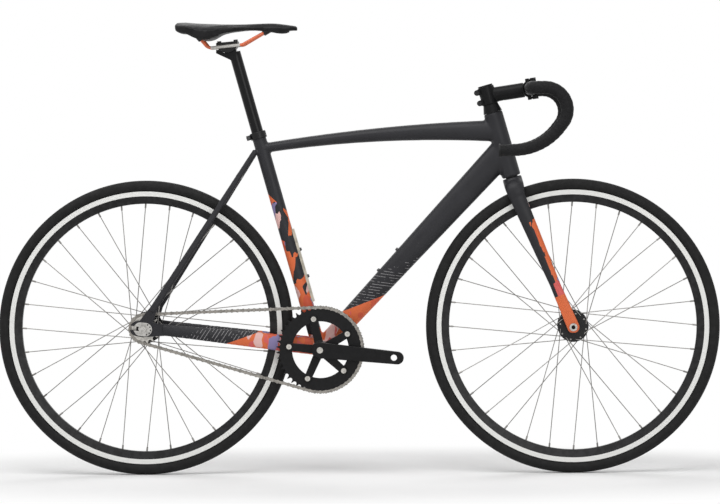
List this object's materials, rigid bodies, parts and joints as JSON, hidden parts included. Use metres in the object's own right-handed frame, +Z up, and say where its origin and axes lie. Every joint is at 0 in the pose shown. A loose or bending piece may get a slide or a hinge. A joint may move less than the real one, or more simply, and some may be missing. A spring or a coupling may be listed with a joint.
{
  "type": "fixed gear bike",
  "caption": "Single speed track bicycle with a drop handlebar, fixed chain drive, spoked wheels, straight fork, tapered seat tube cluster and a slim saddle on a straight post",
  "frame": {"origin": "on the ground under the middle of the wheelbase, in the plane of the wheels", "axes": "+X points forward along the ground, +Y to the rider's left, +Z up"},
  "size_m": [1.6619, 0.44, 1.042],
  "materials": {
    "frame_paint": "satin charcoal paint with warm colour bands",
    "fork_paint": "satin paint, dark at the crown and orange at the tips",
    "black_alloy": "black anodised, satin",
    "rim_alloy": "black anodised with two bare brake tracks",
    "strip_alloy": "bare satin",
    "steel": "bright plated",
    "chain_steel": "oiled grey steel",
    "dark_steel": "black oxide",
    "tyre_rubber": "matte black rubber",
    "tape": "matte black foam tape",
    "plastic": "fine grained black",
    "rail_paint": "orange paint, bare where the clamp grips",
    "saddle_leather": "soft black synthetic leather"
  },
  "bodies": {
    "frame": {"head_tube": "frame_paint", "top_tube": "frame_paint", "down_tube": "frame_paint", "seat_tube": "frame_paint", "bottom_bracket_shell": "frame_paint", "chainstay_left": "frame_paint", "chainstay_right": "frame_paint", "seatstay_left": "frame_paint", "seatstay_right": "frame_paint", "stay_bridges": "frame_paint", "dropout_left": "frame_paint", "dropout_right": "frame_paint", "track_end_plates": "steel", "seat_collar": "black_alloy", "frame_bolts": "steel", "seat_tube_strip": "strip_alloy", "headset_bearings": "steel", "bottom_bracket_cups": "steel", "rear_axle": "steel", "rear_axle_nuts": "steel", "chain": "chain_steel"},
    "steering": {"fork_steerer": "black_alloy", "fork_crown": "fork_paint", "fork_blade_left": "fork_paint", "fork_blade_right": "fork_paint", "headset_cover": "black_alloy", "front_axle": "steel", "front_axle_bolts": "steel", "stem": "black_alloy", "stem_faceplate": "black_alloy", "stem_bolts": "dark_steel", "stem_top_cap": "black_alloy"},
    "bar": {"handlebar": "black_alloy", "bar_tape": "tape", "bar_plugs": "plastic"},
    "front_wheel": {"front_tyre": "tyre_rubber", "front_rim": "rim_alloy", "front_spokes": "steel", "front_hub": "black_alloy", "front_hub_bearings": "steel"},
    "rear_wheel": {"rear_tyre": "tyre_rubber", "rear_rim": "rim_alloy", "rear_spokes": "steel", "rear_hub": "black_alloy", "rear_hub_bearings": "steel", "sprocket": "steel", "lockring": "steel"},
    "crankset": {"bottom_bracket_spindle": "steel", "crank_right": "black_alloy", "crank_left": "black_alloy", "chainring": "black_alloy", "chainring_bolts": "steel", "crank_bolts": "steel"},
    "post": {"seatpost": "black_alloy"},
    "saddle_clamp": {"saddle_cradle": "black_alloy", "saddle_yoke": "black_alloy", "saddle_clamp_bolts": "dark_steel"},
    "saddle": {"saddle_rails": "rail_paint", "saddle_base": "plastic", "saddle_cover": "saddle_leather"}
  },
  "joints": [
    {"name": "steer", "type": "hinge", "parent": "frame", "child": "steering", "pos_m": [0.45403, 0, 0.32811], "axis": [-0.2756, 0, 0.9613], "range_deg": [-70, 70]},
    {"name": "bar_roll", "type": "hinge", "parent": "steering", "child": "bar", "pos_m": [0.39755, 0, 0.88549], "axis": [0, 1, 0], "range_deg": [-15, 15]},
    {"name": "front_wheel_spin", "type": "hinge", "parent": "steering", "child": "front_wheel", "pos_m": [0.492, 0, 0.339], "axis": [0, 1, 0], "continuous": true},
    {"name": "rear_wheel_spin", "type": "hinge", "parent": "frame", "child": "rear_wheel", "pos_m": [-0.492, 0, 0.339], "axis": [0, 1, 0], "continuous": true, "deforming": ["chain"]},
    {"name": "crank_spin", "type": "hinge", "parent": "frame", "child": "crankset", "pos_m": [-0.08798, 0, 0.289], "axis": [0, 1, 0], "continuous": true, "deforming": ["chain"]},
    {"name": "post_height", "type": "slide", "parent": "frame", "child": "post", "axis": [-0.2706, 0, 0.9627], "range_m": [-0.15, 0.02]},
    {"name": "saddle_tilt", "type": "hinge", "parent": "post", "child": "saddle_clamp", "pos_m": [-0.3018, 0, 0.99842], "axis": [0, 1, 0], "range_deg": [-8, 8]},
    {"name": "saddle_setback", "type": "slide", "parent": "saddle_clamp", "child": "saddle", "axis": [0.9954, 0, 0.0958], "range_m": [-0.006, 0.009]}
  ],
  "couplings": [
    {"joint": "crank_spin", "follows": "rear_wheel_spin", "ratio": 0.33333}
  ]
}
